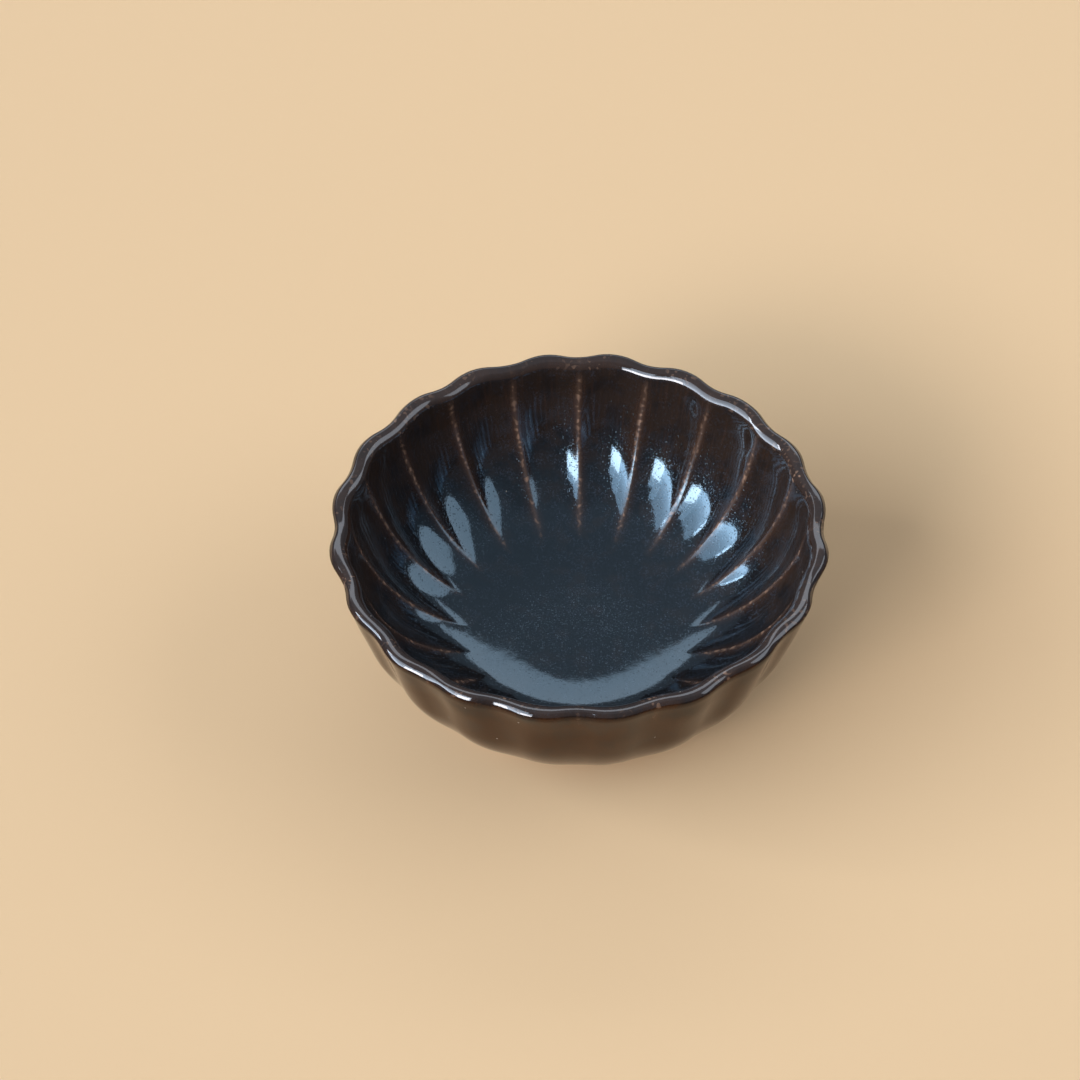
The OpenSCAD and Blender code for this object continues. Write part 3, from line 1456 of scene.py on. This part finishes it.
@dataclass(frozen=True)
class Window:
    """A soft bright field in the room's light, as seen from the dish, in degrees.

    Attributes:
        left: Bearing of its left edge, from +Y towards +X.
        right: Bearing of its right edge.
        low: Elevation of its lower edge.
        high: Elevation of its upper edge.
        foot: Brightness at the lower edge, where 1 is white.
        head: Brightness higher up.
        tint: Its colour.
        fall: Share of the height over which the brightness falls from foot to head.
        squareness: 2 for an ellipse, more for a rounded rectangle.
        blur: Softness of its outline.
        gable: Fall of its upper edge for each degree of bearing from its middle.
        eaves: Softness of that edge.
    """

    left: float
    right: float
    low: float
    high: float
    foot: float
    head: float
    tint: Colour = (0.92, 1.0, 1.08)
    fall: float = 0.8
    squareness: float = 4.0
    blur: float = 0.12
    gable: float = 0.0
    eaves: float = 0.8

    def light(self, board: NodeBoard, bearing: Socket, rise: Socket) -> Socket:
        """Light of the window from a direction.

        Args:
            board: The world's nodes.
            bearing: The direction's bearing, in degrees.
            rise: The direction's elevation, in degrees.

        Returns:
            The light, none outside the window.
        """
        reach = 0.0
        for value, low, high in ((bearing, self.left, self.right), (rise, self.low, self.high)):
            offset = board.math("SUBTRACT", value, (low + high) / 2)
            share = board.math("ABSOLUTE", board.math("DIVIDE", offset, (high - low) / 2))
            reach = board.math("ADD", reach, board.math("POWER", share, self.squareness))
        fallen = self.low + self.fall * (self.high - self.low)
        shown = board.span(rise, self.low, fallen, self.foot, self.head)
        level = board.times(shown, board.span(reach, 1 + self.blur, 1 - self.blur))
        if self.gable:
            level = board.times(level, self.under_gable(board, bearing, rise))
        return board.dim(self.tint, level)

    def under_gable(self, board: NodeBoard, bearing: Socket, rise: Socket) -> Socket:
        """Share of the light that is left under the upper edge, which falls to both sides.

        Args:
            board: The world's nodes.
            bearing: A direction's bearing, in degrees.
            rise: Its elevation, in degrees.

        Returns:
            The share, 0 above the edge.
        """
        away = board.math("ABSOLUTE", board.math("SUBTRACT", bearing, (self.left + self.right) / 2))
        line = board.math("ADD", rise, board.times(away, self.gable))
        return board.span(line, self.high + self.eaves, self.high - self.eaves)


SKY: Colour = (0.84, 1.0, 1.16)


@dataclass
class Studio:
    """Floor, light and camera, in millimetres and degrees.

    Behind the camera the light falls to the share called behind, between two bearings and two
    elevations.
    """

    aim: tuple[float, float, float] = (-6.9, -3.67, 35.0)
    distance: float = 625.91
    elevation: float = 47.4
    azimuth: float = 1.19
    roll: float = -0.685
    lens: float = 116.67
    sensor: float = 36.0
    near: float = 10.0
    floor_side: float = 5000.0
    horizon: Colour = (0.13, 0.16, 0.19)
    ceiling: Colour = (0.38, 0.42, 0.465)
    ceiling_rise: tuple[float, float] = (10, 50)
    behind: float = 0.6
    behind_bearing: tuple[float, float] = (90, 160)
    behind_rise: tuple[float, float] = (80, 50)
    backdrop: Colour = seen(226, 212, 194)
    windows: tuple[Window, ...] = (
        Window(-156, -142, 19.0, 42.0, 5.8, 4.4, SKY, squareness=8.0),
        Window(-143, -126.5, 19.0, 50.0, 5.8, 3.8, SKY, squareness=8.0),
        Window(-155, -130, 19.5, 34.0, 12.0, 11.0, (1.1, 1.04, 1.0), squareness=6.0, blur=0.5),
        Window(-127.5, -82, 19.0, 52.0, 7.0, 2.8, SKY, squareness=8.0),
        Window(-140, -88, 19.5, 27.0, 3.0, 2.0, squareness=6.0),
        Window(-83.5, -79.5, 23.0, 40.0, 13.0, 13.0, squareness=6.0),
        Window(-51, 53, 32.0, 47.2, 1.9, 1.9, squareness=8.0, gable=0.25),
        Window(55, 116, 19.5, 48.5, 2.2, 2.0, squareness=3.0),
    )

    def build_floor(self, finish: PaleFloor) -> bpy.types.Object:
        """Lays the floor that the dish stands on.

        Args:
            finish: Its finish.

        Returns:
            The floor.
        """
        Bench.clear()
        bpy.ops.mesh.primitive_plane_add(size=self.floor_side * MM)
        floor = Bench.take("floor")
        floor.data.materials.append(finish.material())
        return floor

    def build_camera(self) -> bpy.types.Object:
        """Sets the camera at the photograph's viewing angle.

        Returns:
            The camera.
        """
        turn, tip, roll = (math.radians(value) for value in (self.azimuth, self.elevation, self.roll))
        ahead = Vector((-math.sin(turn) * math.cos(tip), math.cos(turn) * math.cos(tip), -math.sin(tip)))
        level = Vector((math.cos(turn), math.sin(turn), 0))
        above = level.cross(ahead)
        right = level * math.cos(roll) + above * math.sin(roll)
        up = above * math.cos(roll) - level * math.sin(roll)
        lens = bpy.data.cameras.new("camera")
        lens.lens = self.lens
        lens.sensor_width = self.sensor
        lens.clip_start = self.near * MM
        camera = bpy.data.objects.new("camera", lens)
        bpy.context.scene.collection.objects.link(camera)
        spot = (Vector(self.aim) - ahead * self.distance) * MM
        camera.matrix_world = Matrix.Translation(spot) @ Matrix((right, up, -ahead)).transposed().to_4x4()
        bpy.context.scene.camera = camera
        return camera

    def build_light(self) -> None:
        """Sets the room's light: dim at the horizon, brighter overhead, with windows on three sides."""
        world = bpy.data.worlds.new("room")
        world.use_nodes = True
        board = NodeBoard(world.node_tree)
        way = board.add("SeparateXYZ", Vector=board.add("TexCoord").outputs["Generated"])
        bearing = board.math("DEGREES", board.math("ARCTAN2", way.outputs["X"], way.outputs["Y"]))
        rise = board.math("DEGREES", board.math("ARCSINE", way.outputs["Z"]))
        tone = board.blend(board.span(rise, *self.ceiling_rise), self.horizon, self.ceiling)
        side = board.span(board.math("ABSOLUTE", bearing), *self.behind_bearing)
        share = board.times(side, board.span(rise, *self.behind_rise))
        tone = board.dim(tone, board.span(share, 0, 1, 1.0, self.behind))
        for window in self.windows:
            tone = board.blend(1.0, tone, window.light(board, bearing, rise), "ADD")
        seen_by_eye = board.add("LightPath").outputs["Is Camera Ray"]
        shown = board.blend(seen_by_eye, tone, self.backdrop)
        light = board.add("Background", Color=shown).outputs[0]
        board.put(board.add("OutputWorld").inputs["Surface"], light)
        bpy.context.scene.world = world


def main() -> None:
    """Builds the dish, piece by piece, and the studio round it."""
    logging.basicConfig(level=logging.INFO, format="%(name)s: %(message)s")
    bpy.context.scene.view_settings.view_transform = "Standard"
    studio = Studio()
    studio.build_camera()
    mould = Mould.from_frame()
    clay = Stoneware("bare_stoneware")
    glaze = IronGlaze("iron_glaze")
    outside = IronGlaze(
        "outer_iron_glaze",
        brown=seen(50, 27, 12),
        fleck=seen(78, 52, 38),
        fur=seen(74, 45, 28),
        # Painted reflection colour: this warm tint stands in for a brown wooden table reflected in the
        # outside, where the pale floor is reflected instead.
        sheen=(1.0, 0.66, 0.4),
        index=1.28,
        grit=0.4,
    )
    lip = IronGlaze(
        "lip_iron_glaze",
        thick=seen(34, 24, 20),
        brown=seen(50, 34, 26),
        fleck_share=0.2,
        sheen=(0.92, 0.93, 0.98),
        index=1.66,
        grit=0.3,
    )
    bowl = Bowl(mould, (Kiln(), Kiln("uneven_lip", grain=13.0, reach=0.9, still_z=20.0, free_z=33.0)))
    foot = Foot(mould)
    pieces = [
        bowl.build_clay(clay),
        bowl.build_inner_glaze(glaze),
        bowl.build_outer_glaze(glaze, outside, lip),
        foot.build_ring(clay),
        foot.build_well(outside),
    ]
    for piece in pieces:
        mesh = piece.data
        LOG.info("%s: %d points, %d faces", piece.name, len(mesh.vertices), len(mesh.polygons))
    studio.build_floor(PaleFloor("pale_floor"))
    studio.build_light()


if __name__ == "__main__":
    main()
